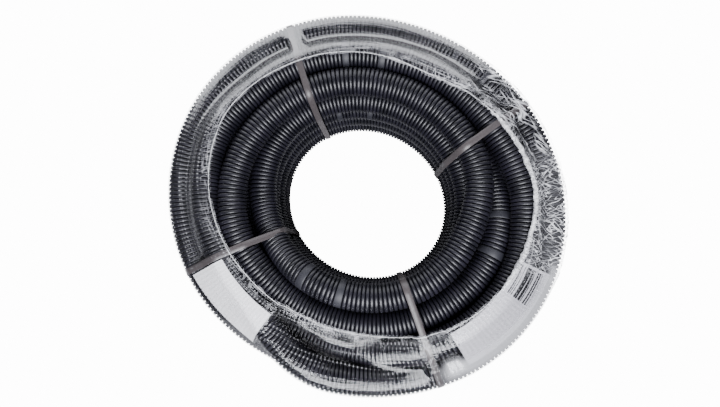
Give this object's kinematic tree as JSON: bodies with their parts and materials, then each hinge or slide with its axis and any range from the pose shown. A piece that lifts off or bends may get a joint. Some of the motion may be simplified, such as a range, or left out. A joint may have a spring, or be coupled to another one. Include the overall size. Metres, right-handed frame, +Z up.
{
  "type": "vacuum hose",
  "caption": "Roll of corrugated pool vacuum hose wound into an oval coil with an open eye, bound by flat straps and wrapped in clear stretch film.",
  "frame": {"origin": "on the ground under the centre of the roll, which lies flat", "axes": "+Z up along the roll's axis, through its eye; +X along the longer diameter of the slightly oval roll"},
  "size_m": [0.64, 0.6, 0.2272],
  "materials": {
    "hose": "satin",
    "strap": "satin",
    "film": "gloss",
    "card": "matte",
    "label": "satin"
  },
  "bodies": {
    "root": {"hose": "hose", "strap_1": "strap", "strap_2": "strap", "strap_3": "strap", "strap_4": "strap", "film": "film", "card": "card", "label": "label"}
  },
  "joints": []
}
